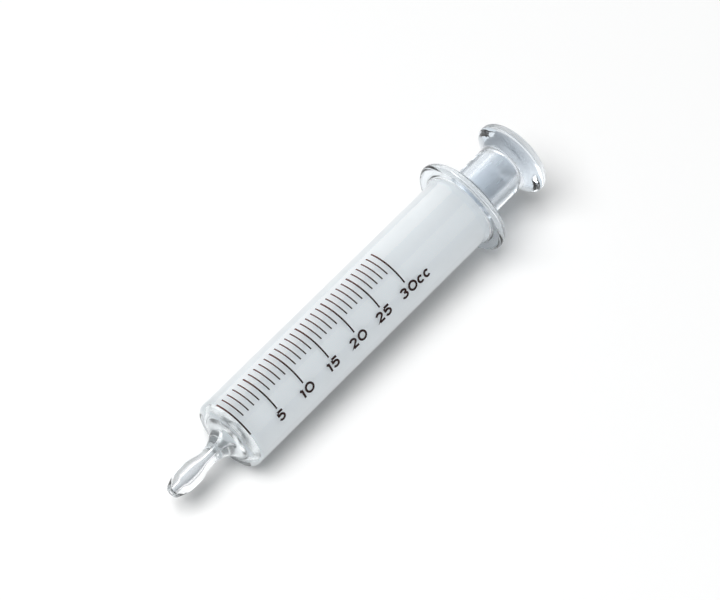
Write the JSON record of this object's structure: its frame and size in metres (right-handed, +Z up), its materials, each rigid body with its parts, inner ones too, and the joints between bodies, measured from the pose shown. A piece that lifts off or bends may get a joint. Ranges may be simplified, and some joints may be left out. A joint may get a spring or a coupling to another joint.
{
  "type": "enema syringe",
  "caption": "All-glass enema syringe: graduated clear barrel with an olive nozzle and a rolled finger flange, and a hollow ground plunger with a flared thumb button.",
  "frame": {"origin": "centre of the nozzle's open end, on the common axis of barrel and plunger", "axes": "+X along the axis from the nozzle to the thumb button, +Z up towards the side that carries the scale's lines, with the syringe lying on its side"},
  "size_m": [0.1691, 0.0362, 0.0362],
  "materials": {
    "clear_glass": "polished",
    "ground_glass": "ground matt",
    "enamel": "fired"
  },
  "bodies": {
    "barrel": {"barrel": "clear_glass", "scale_long_lines": "enamel", "scale_short_lines": "enamel"},
    "plunger": {"plunger": "ground_glass"}
  },
  "joints": [
    {"name": "plunger_slide", "type": "slide", "parent": "barrel", "child": "plunger", "axis": [1, 0, 0], "range_m": [0, 0.11]}
  ]
}
